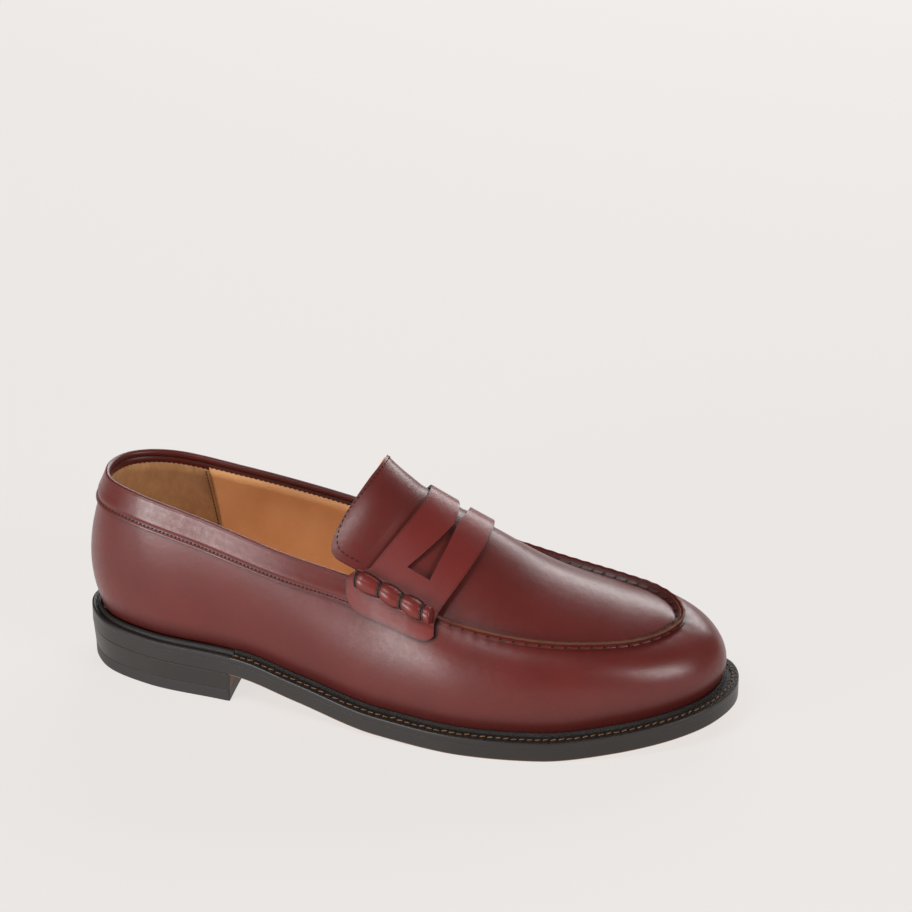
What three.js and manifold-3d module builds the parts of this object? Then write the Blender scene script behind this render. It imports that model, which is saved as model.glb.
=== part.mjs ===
// A man's penny loafer for the right foot, welted, as the separate pieces that a shoemaker joins.
// Millimetres. +X runs from the heel to the toe, +Y to the inner side of the foot, +Z up.
import * as THREE from 'three';
import { mergeVertices } from 'three/addons/utils/BufferGeometryUtils.js';
import Module from 'manifold-3d';

// ---------------------------------------------------------------- driving dimensions

// Twelve stations from the heel's back to the toe's tip. Each gives the sole's edge [x, y] and the
// upper's top edge [x, y, z] on the outer and the inner side: the mouth of the shoe as far as the
// strap, and the apron's seam in front of it.
const STATIONS = [
  { outerSole: [0, 0], innerSole: [0, 0], outerTop: [6, 0.5, 92], innerTop: [6, 0.5, 92] },
  { outerSole: [11, -21], innerSole: [10, 22.5], outerTop: [11, -13, 91.5], innerTop: [11, 14.5, 91.5] },
  { outerSole: [36.5, -33], innerSole: [36, 33.5], outerTop: [31, -22, 90.5], innerTop: [31, 25, 89.5] },
  { outerSole: [75, -38], innerSole: [75, 32.5], outerTop: [66, -28, 84], innerTop: [66, 30, 83] },
  { outerSole: [110, -44], innerSole: [110, 32], outerTop: [101, -32.5, 75.5], innerTop: [102, 33, 75.5] },
  { outerSole: [149, -51.5], innerSole: [148, 38], outerTop: [138, -33.5, 67], innerTop: [140, 33.5, 67.5] },
  { outerSole: [189, -56], innerSole: [187, 47.5], outerTop: [180, -38, 53.5], innerTop: [180, 36, 59] },
  { outerSole: [224, -52], innerSole: [222, 51], outerTop: [216, -35.5, 48], innerTop: [214, 36.5, 51.5] },
  { outerSole: [253, -41.5], innerSole: [252, 47.5], outerTop: [241, -27.5, 46], innerTop: [240, 33, 48.5] },
  { outerSole: [278, -27], innerSole: [277, 39], outerTop: [257, -17, 44.5], innerTop: [256, 28, 47.5] },
  { outerSole: [292, -12], innerSole: [292.5, 26], outerTop: [267, -6, 44.5], innerTop: [267, 19.5, 46.5] },
  { outerSole: [298, 7], innerSole: [298, 7], outerTop: [272, 7, 45.5], innerTop: [272, 7, 45.5] },
];

// Height of the welt's upper edge above the ground along the shoe: [x, z].
const WELT_LINE = [[0, 25.2], [40, 24.3], [80, 23.4], [110, 17.8], [148, 11], [190, 9.4], [222, 9.4],
  [252, 11.6], [280, 15.2], [298, 18.2]];

const GAP = 0.3;                  // clear space between two pieces that lie on each other
const SOLE_EDGE = 9.4;            // outsole and welt together
const WELT_THICK = 3.2;
const LEATHER = 1.4;              // upper leather
const LINING = 0.8;
const STIFFENER = 0.8;
const TURN_RADIUS = 4.6;          // where the upper turns under the insole
const MARGIN = 7;                 // width of the upper that is lasted under the insole
const INSOLE_THICK = 3;
const SOCK_THICK = 1;
const RIB_WIDTH = 2;
const SHANK = { from: 48, to: 158, width: 15, thick: 1.6 };
const HEEL_BREAST = 78;           // front face of the heel
const TOP_PIECE_THICK = 5.6;
const LIFT_THICK = 3.4;
const HEEL_TAPER = 0.25;          // each heel layer steps in by this much from the one above it
const BAND_DEPTH = 15;            // height of the collar band below the mouth
const VAMP_BELOW_MOUTH = 9.5;     // the upper stops this far under the mouth, behind the band
const BAND_THICK = 1.1;
const FOLD_DEPTH = 5.4;           // the topline's edge is folded this far down the inside
const MOUTH_END = 4.9;            // station where the mouth of the shoe ends
const MOUTH_STEP = 0.05;
const GRIP_EDGE = 2.25;           // station where the suede heel grip meets the quarter lining
const SEAM_GAP = 0.0006;          // clear space between two pieces that meet along the ring
const SEAM_LIP = 2.6;             // how far the apron seam's two edges stand up
const LIP_LEAN = THREE.MathUtils.degToRad(32);
const STRAP = { back: 5, front: 5.82, flare: 0.17, thick: 1.5, over: 0.9, overTab: 1.7, tabDrop: 12.5 };
const SLOT = { reach: 27, wide: 5.4, neck: 0.8, centre: 115.5, tilt: THREE.MathUtils.degToRad(26) };
const ROLL = { from: 5.03, to: 5.76, half: 4, height: 4.8, lift: 3.7, tilt: 0.3, pinch: 0.2, windings: 4 };
const SIDE_POWER = 2.2;           // shape of the instep's arch across the foot
const TONGUE = { crest: [151.7, 91], bend: [142, 97.5], tip: [131, 108], half: 33.2, sideDrop: 26.5 };

// ---------------------------------------------------------------- materials

const finish = (color, roughness, metalness = 0) =>
  new THREE.MeshStandardMaterial({ color, roughness, metalness });
const upperLeather = finish(0x6f2f2c, 0.38);
const strapLeather = finish(0x762f2c, 0.36);
const tanLeather = finish(0xb5763f, 0.62);
const suede = finish(0x8a6c44, 0.9);
const blackLeather = finish(0x34302e, 0.5);
const weltLeather = finish(0x2a2523, 0.6);
const heelRubber = finish(0x242322, 0.75);
const corkMix = finish(0x9a7448, 0.95);
const fibreBoard = finish(0xc9b08a, 0.9);
const springSteel = finish(0x8f949a, 0.35, 1);

// ---------------------------------------------------------------- curves and heights

const HALF_TURN = STATIONS.length - 1;
const ringOf = (outerKey, innerKey) => {
  const outer = STATIONS.map((row) => row[outerKey]);
  const inner = STATIONS.slice(1, -1).map((row) => row[innerKey]).reverse();
  const points = [...outer, ...inner].map(([x, y, z = 0]) => new THREE.Vector3(x, y, z));
  return new THREE.CatmullRomCurve3(points, true, 'centripetal');
};
const soleRing = ringOf('outerSole', 'innerSole');
const topRing = ringOf('outerTop', 'innerTop');

// A place round the ring is a number u from 0 to 1: heel back, outer side, toe, inner side.
const outer = (station) => station / (2 * HALF_TURN);
const inner = (station) => 1 - outer(station);
const wrap = (u) => u - Math.floor(u);
const stationAt = (u) => 2 * HALF_TURN * Math.min(wrap(u), 1 - wrap(u));

// Smooth curve through [position, value] pairs that never overshoots them.
function profile(pairs) {
  const steps = pairs.slice(1).map(([x, v], i) => (v - pairs[i][1]) / (x - pairs[i][0]));
  const slopes = pairs.map((_, i) => {
    if (i === 0 || i === pairs.length - 1) return steps[Math.min(i, steps.length - 1)];
    const [before, after] = [steps[i - 1], steps[i]];
    return before * after <= 0 ? 0 : (2 * before * after) / (before + after);
  });
  return (x) => {
    const last = pairs.length - 2;
    const i = Math.min(last, Math.max(0, pairs.findIndex(([edge]) => edge > x) - 1));
    const k = x >= pairs[last + 1][0] ? last : i;
    const width = pairs[k + 1][0] - pairs[k][0];
    const s = THREE.MathUtils.clamp((x - pairs[k][0]) / width, 0, 1);
    const [a, b] = [pairs[k][1], pairs[k + 1][1]];
    return a * (1 + 2 * s) * (1 - s) ** 2 + slopes[k] * width * s * (1 - s) ** 2
      + b * s * s * (3 - 2 * s) + slopes[k + 1] * width * s * s * (s - 1);
  };
}

const weltTop = profile(WELT_LINE);
const outsoleTop = (x) => weltTop(x) - WELT_THICK - GAP;
const outsoleBottom = (x) => weltTop(x) - SOLE_EDGE;
const seatRise = profile([[60, 3.4], [110, 2.2], [300, 2.2]]);
const upperFoot = (x) => weltTop(x) + seatRise(x);            // where the upper leaves the welt
const insoleBottom = (x) => upperFoot(x) - TURN_RADIUS + LEATHER + STIFFENER + LINING + 4 * GAP;

// By station: how far the upper stands in from the sole's edge, and how it bulges.
const footInset = profile([[0, 5], [3, 5.4], [5, 6.4], [8, 7], [11, 7.4]]);
const lowBulge = profile([[0, 7.5], [2, 5], [4, 3.5], [6, 4.5], [8, 5.5], [11, 6.5]]);
const highBulge = profile([[0, 8], [2, 5.5], [4, 4.5], [5, 5], [6, 9], [8, 11], [11, 12]]);
const lowReach = profile([[0, 0.35], [5, 0.35], [7, 0.42], [11, 0.5]]);
const highReach = profile([[0, 0.3], [5, 0.28], [7, 0.1], [11, -0.02]]);
const archHeight = profile([[5, 27], [6, 19.5], [7, 11.5], [8, 7.5], [9, 5], [10, 3], [11, 1.8]]);
const archLean = profile([[5, 28], [6, 24], [7, 15], [8, 9], [11, 0]]);

const up = new THREE.Vector3(0, 0, 1);

function outward(u) {
  const along = soleRing.getTangent(wrap(u));
  return new THREE.Vector3(along.y, -along.x, 0).normalize();
}

// A point of the sole's edge moved in by inset, at the height that level gives for its x.
function edgePoint(u, inset, level) {
  const point = soleRing.getPoint(wrap(u)).addScaledVector(outward(u), -inset);
  point.z = level(point.x);
  return point;
}

const footInsetAt = (u) => footInset(stationAt(u));
const mouthPoint = (u) => topRing.getPoint(wrap(u));
const wallHeight = (u) => mouthPoint(u).z - edgePoint(u, footInsetAt(u), upperFoot).z;

// The outer face of the upper's wall. t runs from 0 at the welt to 1 at the top edge, and from
// 0 to -1 along the margin that is turned under the insole.
function wallPoint(u, t) {
  const out = outward(u);
  const foot = edgePoint(u, footInsetAt(u), upperFoot);
  if (t < 0) {
    const angle = Math.min(1, -2 * t) * Math.PI / 2;
    const flat = Math.max(0, -2 * t - 1) * MARGIN;
    foot.addScaledVector(out, -TURN_RADIUS * (1 - Math.cos(angle)) - flat);
    foot.z = upperFoot(foot.x) - TURN_RADIUS * Math.sin(angle);
    return foot;
  }
  const top = mouthPoint(u);
  const station = stationAt(u);
  const rise = top.z - foot.z;
  const low = foot.clone().addScaledVector(out, lowBulge(station));
  low.addScaledVector(up, lowReach(station) * rise);
  const high = top.clone().addScaledVector(out, highBulge(station));
  high.addScaledVector(up, -highReach(station) * rise);
  return new THREE.CubicBezierCurve3(foot, low, high, top).getPoint(t);
}

const lipDirection = (u) => up.clone().multiplyScalar(Math.cos(LIP_LEAN))
  .addScaledVector(outward(u), Math.sin(LIP_LEAN));

// The instep: an arch from the outer seam to the inner one. side runs from -1 to 1 across it.
function archPoint(u, side, seamInset = 0) {
  const left = mouthPoint(u).addScaledVector(outward(u), -seamInset);
  const right = mouthPoint(1 - u).addScaledVector(outward(1 - u), -seamInset);
  const station = stationAt(u);
  const lean = THREE.MathUtils.degToRad(archLean(station));
  const lift = archHeight(station) * (1 - Math.abs(side) ** SIDE_POWER);
  const raise = new THREE.Vector3(Math.sin(lean), 0, Math.cos(lean)).multiplyScalar(lift);
  return left.lerp(right, (side + 1) / 2).add(raise);
}

// The tongue carries the arch on, up the instep. along runs from 0 at the strap to 1 at its end.
function tonguePoint(along, side) {
  const flat = ([x, z]) => new THREE.Vector2(x, z);
  const spine = new THREE.QuadraticBezierCurve(flat(TONGUE.crest), flat(TONGUE.bend), flat(TONGUE.tip));
  const centre = spine.getPoint(along);
  const slope = spine.getTangent(along);
  const half = TONGUE.half * Math.sqrt(1 - 0.93 * along ** 3.2);
  const drop = TONGUE.sideDrop * Math.abs(side * half / TONGUE.half) ** SIDE_POWER;
  return new THREE.Vector3(centre.x - slope.y * drop, side * half, centre.y + slope.x * drop);
}

// ---------------------------------------------------------------- solids

// Every piece has its corners at the same places round the ring, so that faces that lie on each
// other stay parallel. Two more places on each side mark where the mouth ends.
const stations = Array.from({ length: 2 * HALF_TURN }, (_, k) => (k + 0.5) / 2)
  .concat(MOUTH_END - MOUTH_STEP, MOUTH_END)
  .sort((a, b) => a - b);
const halfRing = stations.map(outer);
const fullRing = [...halfRing, ...[...stations].reverse().map(inner)];
const ringPlaces = (from, to) => {
  const turns = [-1, 0, 1].flatMap((turn) => fullRing.map((u) => u + turn));
  return [from, ...turns.filter((u) => u > from + 1e-4 && u < to - 1e-4), to];
};

// Closed solid between two grids of points, low[i][j] and high[i][j]. A ring joins its last row of
// points to its first.
function solidBetween(low, high, isRing = false) {
  const [rows, columns] = [low.length, low[0].length];
  const points = [...low.flat(), ...high.flat()];
  const at = (level, i, j) => (level * rows + (i % rows)) * columns + j;
  const faces = [];
  const quad = (a, b, c, d) => faces.push(a, b, c, a, c, d);
  const lastRow = isRing ? rows : rows - 1;
  for (let i = 0; i < lastRow; i += 1) {
    for (let j = 0; j < columns - 1; j += 1) {
      quad(at(1, i, j), at(1, i + 1, j), at(1, i + 1, j + 1), at(1, i, j + 1));
      quad(at(0, i, j), at(0, i, j + 1), at(0, i + 1, j + 1), at(0, i + 1, j));
    }
    quad(at(0, i, 0), at(0, i + 1, 0), at(1, i + 1, 0), at(1, i, 0));
    const j = columns - 1;
    quad(at(0, i + 1, j), at(0, i, j), at(1, i, j), at(1, i + 1, j));
  }
  if (!isRing) {
    for (let j = 0; j < columns - 1; j += 1) {
      quad(at(0, 0, j + 1), at(0, 0, j), at(1, 0, j), at(1, 0, j + 1));
      quad(at(0, rows - 1, j), at(0, rows - 1, j + 1), at(1, rows - 1, j + 1), at(1, rows - 1, j));
    }
  }
  let volume = 0;
  for (let f = 0; f < faces.length; f += 3) {
    const [a, b, c] = [points[faces[f]], points[faces[f + 1]], points[faces[f + 2]]];
    volume += a.dot(b.clone().cross(c));
  }
  if (volume < 0) faces.reverse();
  const geometry = new THREE.BufferGeometry();
  geometry.setAttribute('position', new THREE.Float32BufferAttribute(points.flatMap((p) => p.toArray()), 3));
  geometry.setIndex(faces);
  geometry.computeVertexNormals();
  return geometry;
}

// Surface normals of a grid of points, turned to the side that facing points to.
function gridNormals(grid, facing, isRing) {
  const rows = grid.length;
  return grid.map((row, i) => row.map((point, j) => {
    const before = isRing ? grid[(i + rows - 1) % rows] : grid[Math.max(0, i - 1)];
    const after = isRing ? grid[(i + 1) % rows] : grid[Math.min(rows - 1, i + 1)];
    const along = after[j].clone().sub(before[j]);
    const across = row[Math.min(row.length - 1, j + 1)].clone().sub(row[Math.max(0, j - 1)]);
    return along.cross(across).normalize().multiplyScalar(facing);
  }));
}

// A sheet of leather: the grid moved along its normals to two distances, and closed round its edge.
// A distance is a number, or a function of the grid's [i, j].
function sheet(grid, from, to, { facing = 1, isRing = false } = {}) {
  const normals = gridNormals(grid, facing, isRing);
  const distance = (value, i, j) => (typeof value === 'function' ? value(i, j) : value);
  const moved = (value) => grid.map((row, i) => row.map((point, j) =>
    point.clone().addScaledVector(normals[i][j], distance(value, i, j))));
  return solidBetween(moved(from), moved(to), isRing);
}

// A layer of the bottom: the sole's outline moved in, from one height to another.
function layer(places, inset, low, high, columns = 3) {
  const grid = (level) => places.map((u) => {
    const left = edgePoint(u, inset, () => 0);
    const right = edgePoint(1 - u, inset, () => 0);
    return Array.from({ length: columns }, (_, j) => {
      const point = left.clone().lerp(right, j / (columns - 1));
      point.z = level(point.x);
      return point;
    });
  });
  return solidBetween(grid(low), grid(high));
}

// A strip that follows the sole's edge, with its section given as [inset, height] corners: the
// lower pair, then the upper pair.
function edgeStrip(places, section) {
  const grid = (corners) => places.map((u) => corners(u).map(([inset, level]) => edgePoint(u, inset, level)));
  return solidBetween(grid((u) => section(u).low), grid((u) => section(u).high));
}

const shoe = new THREE.Group();
function add(name, geometry, material) {
  const mesh = new THREE.Mesh(geometry, material);
  mesh.name = name;
  shoe.add(mesh);
  return mesh;
}

// ---------------------------------------------------------------- the bottom

const breastStation = (side) => {
  let [near, far] = [0, 6];
  for (let pass = 0; pass < 30; pass += 1) {
    const middle = (near + far) / 2;
    if (soleRing.getPoint(side(middle)).x < HEEL_BREAST) near = middle;
    else far = middle;
  }
  return near;
};
const breastOuter = breastStation(outer);
const breastInner = breastStation(inner);

add('outsole', layer(halfRing, 0, outsoleBottom, outsoleTop), blackLeather);

// The heel: flat layers, each a little smaller than the one above it, with a straight front face.
function heelLayer(inset, low, high) {
  const back = halfRing.filter((u) => soleRing.getPoint(u).x < HEEL_BREAST - 3);
  const corner = (u) => {
    const point = edgePoint(u, inset, () => 0);
    point.x = HEEL_BREAST - inset;
    return point;
  };
  const ends = back.map((u) => [edgePoint(u, inset, () => 0), edgePoint(1 - u, inset, () => 0)]);
  ends.push([corner(outer(breastOuter)), corner(inner(breastInner))]);
  const grid = (level) => ends.map(([left, right]) => Array.from({ length: 3 }, (_, j) => {
    const point = left.clone().lerp(right, j / 2);
    point.z = level(point.x);
    return point;
  }));
  return solidBetween(grid(low), grid(high));
}

const liftCount = 3;
const liftBottom = (n) => TOP_PIECE_THICK + GAP + n * (LIFT_THICK + GAP);
add('heel_top_piece', heelLayer(HEEL_TAPER * (liftCount + 1), () => 0, () => TOP_PIECE_THICK), heelRubber);
for (let n = 0; n < liftCount; n += 1) {
  const isTop = n === liftCount - 1;
  const high = isTop ? (x) => outsoleBottom(x) - GAP : () => liftBottom(n) + LIFT_THICK;
  const body = heelLayer(HEEL_TAPER * (liftCount - n), () => liftBottom(n), high);
  add(`heel_lift_${n + 1}`, body, blackLeather);
}

// Welt round the forepart and rand round the heel seat, both rising to the upper.
const weltBottom = (x) => outsoleTop(x) + GAP;
const stripSection = (groove) => (u) => {
  const inset = footInsetAt(u);
  return {
    low: [[0, weltBottom], [inset * 0.5, weltBottom], [inset + 1.2, weltBottom]],
    high: [[0, weltTop], [inset * 0.5, (x) => weltTop(x) + groove], [inset, (x) => upperFoot(x) - 0.8]],
  };
};
const weltPlaces = ringPlaces(outer(breastOuter) + SEAM_GAP, inner(breastInner) - SEAM_GAP);
const randPlaces = ringPlaces(-outer(breastInner) + SEAM_GAP, outer(breastOuter) - SEAM_GAP);
add('welt', edgeStrip(weltPlaces, stripSection(0.3)), weltLeather);
add('heel_rand', edgeStrip(randPlaces, stripSection(0.6)), weltLeather);

// Inside the bottom: insole on its rib, cork in the hollow, and the steel shank bedded in the cork.
const insoleInset = footInset(HALF_TURN) + TURN_RADIUS + 2 * GAP;
const insoleTop = (x) => insoleBottom(x) + INSOLE_THICK;
const ribInset = footInset(HALF_TURN) + TURN_RADIUS + MARGIN + 3 * GAP;
const marginTop = (x) => insoleBottom(x) - GAP;
add('insole', layer(halfRing, insoleInset, insoleBottom, insoleTop), tanLeather);
add('sock_lining', layer(halfRing, insoleInset + 0.4, (x) => insoleTop(x) + GAP,
  (x) => insoleTop(x) + GAP + SOCK_THICK), tanLeather);
add('insole_rib', edgeStrip(ringPlaces(outer(3.2), inner(3.2)), () => ({
  low: [[ribInset, weltBottom], [ribInset + RIB_WIDTH, weltBottom]],
  high: [[ribInset, marginTop], [ribInset + RIB_WIDTH, marginTop]],
})), fibreBoard);

const wasm = await Module();
wasm.setup();
const solidOf = (geometry) => {
  const bare = geometry.clone();
  bare.deleteAttribute('normal');
  bare.deleteAttribute('uv');
  const merged = mergeVertices(bare, 1e-4);
  return new wasm.Manifold(new wasm.Mesh({
    numProp: 3,
    vertProperties: new Float32Array(merged.attributes.position.array),
    triVerts: new Uint32Array(merged.index.array),
  }));
};
const geometryOf = (solid) => {
  const { vertProperties, triVerts } = solid.getMesh();
  const geometry = new THREE.BufferGeometry();
  geometry.setAttribute('position', new THREE.BufferAttribute(vertProperties, 3));
  geometry.setIndex(new THREE.BufferAttribute(triVerts, 1));
  geometry.computeVertexNormals();
  return geometry;
};
// A bar that follows the waist of the sole, used for the shank and, larger, for its bed.
function waistBar(grow, low, high) {
  const steps = 10;
  const half = SHANK.width / 2 + grow;
  const grid = (level) => Array.from({ length: steps + 1 }, (_, i) => {
    const x = THREE.MathUtils.lerp(SHANK.from - grow, SHANK.to + grow, i / steps);
    return [-half, half].map((y) => new THREE.Vector3(x, y - 2, level(x)));
  });
  return solidBetween(grid(low), grid(high));
}
const shankTop = (x) => marginTop(x) - GAP;
const shankBottom = (x) => shankTop(x) - SHANK.thick;
const corkBody = layer(halfRing.slice(1, -1), ribInset + RIB_WIDTH + GAP, weltBottom, marginTop);
const shankBed = waistBar(GAP, (x) => shankBottom(x) - GAP, (x) => marginTop(x) + 2);
add('cork_filler', geometryOf(solidOf(corkBody).subtract(solidOf(shankBed))), corkMix);
add('shank', waistBar(0, shankBottom, shankTop), springSteel);

// ---------------------------------------------------------------- the upper's wall

const marginSteps = [-1, -0.5, -0.25];
const wallSteps = [0, 0.18, 0.4, 0.62, 0.82, 1];
const isMouth = (u) => stationAt(u) < MOUTH_END - MOUTH_STEP / 2;
const below = (u, depth) => 1 - depth / (wallHeight(u) * 1.04);

// One piece of leather goes right round the foot. In front its edge turns up into the apron seam,
// and round the mouth it stops behind the collar band.
const vampGrid = fullRing.map((u) => {
  const top = isMouth(u) ? below(u, VAMP_BELOW_MOUTH) : 1;
  const lip = stationAt(u) < STRAP.front + 0.05 ? GAP : SEAM_LIP;
  const rows = [...marginSteps, ...wallSteps.map((t) => t * top)].map((t) => wallPoint(u, t));
  rows.push(isMouth(u) ? wallPoint(u, top + 0.012) : mouthPoint(u).addScaledVector(lipDirection(u), lip));
  return rows;
});
add('vamp', sheet(vampGrid, -LEATHER, 0, { isRing: true }), upperLeather);

const wallSheet = (places, steps, from, to) =>
  sheet(places.map((u) => steps(u).map((t) => wallPoint(u, t))), from, to);

// Stiffeners between the upper and the lining.
const stiffenerFace = -LEATHER - GAP;
const stiffenerSteps = (u, reach) => [-0.5, -0.25, 0, 0.18, 0.4, 0.62].map((t) => Math.min(t, t * reach));
add('heel_counter', wallSheet(ringPlaces(-outer(3.25), outer(3.25)), (u) => stiffenerSteps(u, 0.95),
  stiffenerFace - STIFFENER, stiffenerFace), fibreBoard);
add('toe_puff', wallSheet(ringPlaces(outer(7.75), inner(7.75)), (u) => stiffenerSteps(u, 1.15),
  stiffenerFace - STIFFENER, stiffenerFace), fibreBoard);

// Lining: suede grip round the heel, a leather quarter on each side, and a vamp lining in front.
const liningFace = stiffenerFace - STIFFENER - GAP;
const liningSteps = (u) => {
  const top = isMouth(u) ? below(u, FOLD_DEPTH - 1) : 0.97;
  return [...marginSteps, 0, 0.18, 0.4, 0.62, 0.82, 1].map((t) => Math.min(t, t * top));
};
const liningPiece = (name, from, to, material) => add(name,
  wallSheet(ringPlaces(from, to), liningSteps, liningFace - LINING, liningFace), material);
liningPiece('heel_grip', -outer(GRIP_EDGE) + SEAM_GAP, outer(GRIP_EDGE) - SEAM_GAP, suede);
liningPiece('quarter_lining_lateral', outer(GRIP_EDGE) + SEAM_GAP, outer(MOUTH_END) - SEAM_GAP, tanLeather);
liningPiece('quarter_lining_medial', inner(MOUTH_END) + SEAM_GAP, inner(GRIP_EDGE) - SEAM_GAP, tanLeather);
liningPiece('vamp_lining', outer(MOUTH_END) + SEAM_GAP, inner(MOUTH_END) - SEAM_GAP, tanLeather);

// Collar band: laid over the upper's top edge and drawn in above it.
const bandSteps = [BAND_DEPTH, 10.8, 8.6, 5.8, 2.8, 0.2];
const bandInner = [GAP, GAP, GAP, -0.7, -LEATHER + 0.1, -LEATHER];
const collarPlaces = ringPlaces(-outer(MOUTH_END - 0.07), outer(MOUTH_END - 0.07));
add('collar_band', wallSheet(collarPlaces, (u) => bandSteps.map((depth) => below(u, depth)),
  (i, j) => bandInner[j], (i, j) => bandInner[j] + BAND_THICK), upperLeather);

// The band's edge is folded over the mouth and down the inside, behind the lining.
// Its section is given as [across, rise] corners from the mouth's line.
const FOLD_INSIDE = [[-1.7, -FOLD_DEPTH], [-1.7, 0.1], [-1.2, 0.35], [-0.25, 0.35]];
const FOLD_OUTSIDE = [[-2.5, -FOLD_DEPTH], [-2.45, 0.7], [-1.3, 1.7], [0.05, 0.9]];
function foldedEdge(places) {
  const grid = (corners) => places.map((u) => {
    const out = outward(u);
    const mouth = mouthPoint(u);
    const down = mouth.clone().sub(wallPoint(u, below(u, 6))).normalize();
    const side = out.clone().addScaledVector(down, -out.dot(down)).normalize();
    const corner = ([over, rise]) => mouth.clone().addScaledVector(side, over).addScaledVector(down, rise);
    return corners.map(corner);
  });
  return solidBetween(grid(FOLD_INSIDE), grid(FOLD_OUTSIDE));
}
add('topline_fold', foldedEdge(collarPlaces), upperLeather);

// ---------------------------------------------------------------- apron, tongue, strap and rolls

const across = (count) => Array.from({ length: count + 1 }, (_, j) => Math.sin((j / count - 0.5) * Math.PI));
const sides = across(8);
const seamRoom = 2 * LEATHER + 2 * GAP;      // the two upturned edges and the gap between them
const apronPlaces = [...halfRing].reverse().filter((u) => stationAt(u) > STRAP.back + 0.02);
const tongueSteps = [0.1, 0.3, 0.5, 0.68, 0.83, 0.94, 1];
const apronRow = (u) => {
  const lip = stationAt(u) < STRAP.front + 0.05 ? GAP : SEAM_LIP;
  const row = sides.map((side) => archPoint(u, side, seamRoom));
  const raised = (point, place) => point.clone().addScaledVector(lipDirection(place), lip);
  return [raised(row[0], u), ...row, raised(row[row.length - 1], 1 - u)];
};
const tongueRow = (along) => {
  const row = sides.map((side) => tonguePoint(along, side * 0.97));
  return [tonguePoint(along, -1), ...row, tonguePoint(along, 1)];
};
const apronGrid = [...apronPlaces.map(apronRow), ...tongueSteps.map(tongueRow)];
add('apron_and_tongue', sheet(apronGrid, -LEATHER, 0, { facing: -1 }), upperLeather);

const tongueLiningGrid = apronGrid.slice(2).map((row) => row.slice(2, -2));
const underTongue = -LEATHER - GAP;
add('tongue_lining', sheet(tongueLiningGrid, underTongue - LINING, underTongue, { facing: -1 }), tanLeather);

// The strap: over the instep from one beef roll to the other, with a tab on the wall at each end.
// Its back edge flares towards the heel as it comes down to the tabs.
const strapWidth = [0, 0.17, 0.34, 0.5, 0.66, 0.83, 1];
const tabSteps = [1, 0.66, 0.33];
const strapStation = (part, flare) =>
  THREE.MathUtils.lerp(STRAP.back - STRAP.flare * flare, STRAP.front, part);
const strapRow = (part) => {
  const tabStation = strapStation(part, 1);
  const roundOff = 1 - 0.35 * Math.abs(2 * part - 1) ** 4;
  const drop = (place, step) => below(place, STRAP.tabDrop * step * roundOff);
  const tab = (place) => tabSteps.map((step) => wallPoint(place, drop(place, step)));
  return [
    ...tab(outer(tabStation)),
    ...sides.map((side) => archPoint(outer(strapStation(part, side ** 20)), side)),
    ...tab(inner(tabStation)).reverse(),
  ];
};
const strapGrid = strapWidth.map(strapRow);
const strapLift = (i, j) => {
  const edge = Math.min(j, strapGrid[0].length - 1 - j);
  return edge < tabSteps.length + 1 ? STRAP.overTab : STRAP.over;
};
const strapSheet = sheet(strapGrid, strapLift, (i, j) => strapLift(i, j) + STRAP.thick);

// The bow-tie slot, cut straight down through the strap's crown.
const slotShape = new THREE.Shape([
  [-SLOT.reach, -SLOT.wide], [0, -SLOT.neck], [SLOT.reach, -SLOT.wide],
  [SLOT.reach, SLOT.wide], [0, SLOT.neck], [-SLOT.reach, SLOT.wide],
].map(([y, along]) => new THREE.Vector2(along, y)));
const slotCutter = new THREE.ExtrudeGeometry(slotShape, { depth: 80, bevelEnabled: false });
slotCutter.translate(SLOT.centre, 0, 100);
slotCutter.rotateY(SLOT.tilt);
add('saddle_strap', geometryOf(solidOf(strapSheet).subtract(solidOf(slotCutter))), strapLeather);

// A beef roll: leather rolled up on the strap's foot, drawn in where the cord winds round it.
function beefRoll(side) {
  const steps = 24;
  const facets = 8;
  const lean = LIP_LEAN + ROLL.tilt;
  const frames = Array.from({ length: steps + 1 }, (_, i) => {
    const place = side(THREE.MathUtils.lerp(ROLL.from, ROLL.to, i / steps));
    const out = outward(place);
    const rise = out.clone().multiplyScalar(Math.sin(lean)).addScaledVector(up, Math.cos(lean));
    const wide = out.clone().multiplyScalar(Math.cos(lean)).addScaledVector(up, -Math.sin(lean));
    const winding = Math.cos((i / steps) * ROLL.windings * 2 * Math.PI) ** 6;
    const base = mouthPoint(place).addScaledVector(rise, ROLL.lift);
    return { base, rise, wide, size: 1 - ROLL.pinch * winding };
  });
  const section = ({ base, rise, wide, size }, height) => Array.from({ length: facets + 1 }, (_, j) => {
    const angle = (j / facets) * Math.PI;
    return base.clone().addScaledVector(wide, ROLL.half * size * Math.cos(angle))
      .addScaledVector(rise, height * size * Math.max(0.08, Math.sin(angle)));
  });
  const grid = (height) => frames.map((frame) => section(frame, height));
  return solidBetween(grid(0), grid(ROLL.height));
}
add('beef_roll_lateral', beefRoll(outer), strapLeather);
add('beef_roll_medial', beefRoll(inner), strapLeather);

// The origin is under the middle of the shoe.
const box = new THREE.Box3().setFromObject(shoe);
shoe.position.set(-(box.min.x + box.max.x) / 2, -(box.min.y + box.max.y) / 2, -box.min.z);

export default shoe;
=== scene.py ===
# The looks of a right-foot penny loafer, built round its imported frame. Lengths are in millimetres
# until a piece's mesh is placed, and Blender's are in metres.
from bisect import bisect
from functools import lru_cache
from math import cos, pi, radians, sin, sqrt, tau

import bmesh
import bpy
from mathutils import Matrix, Vector, noise


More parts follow.
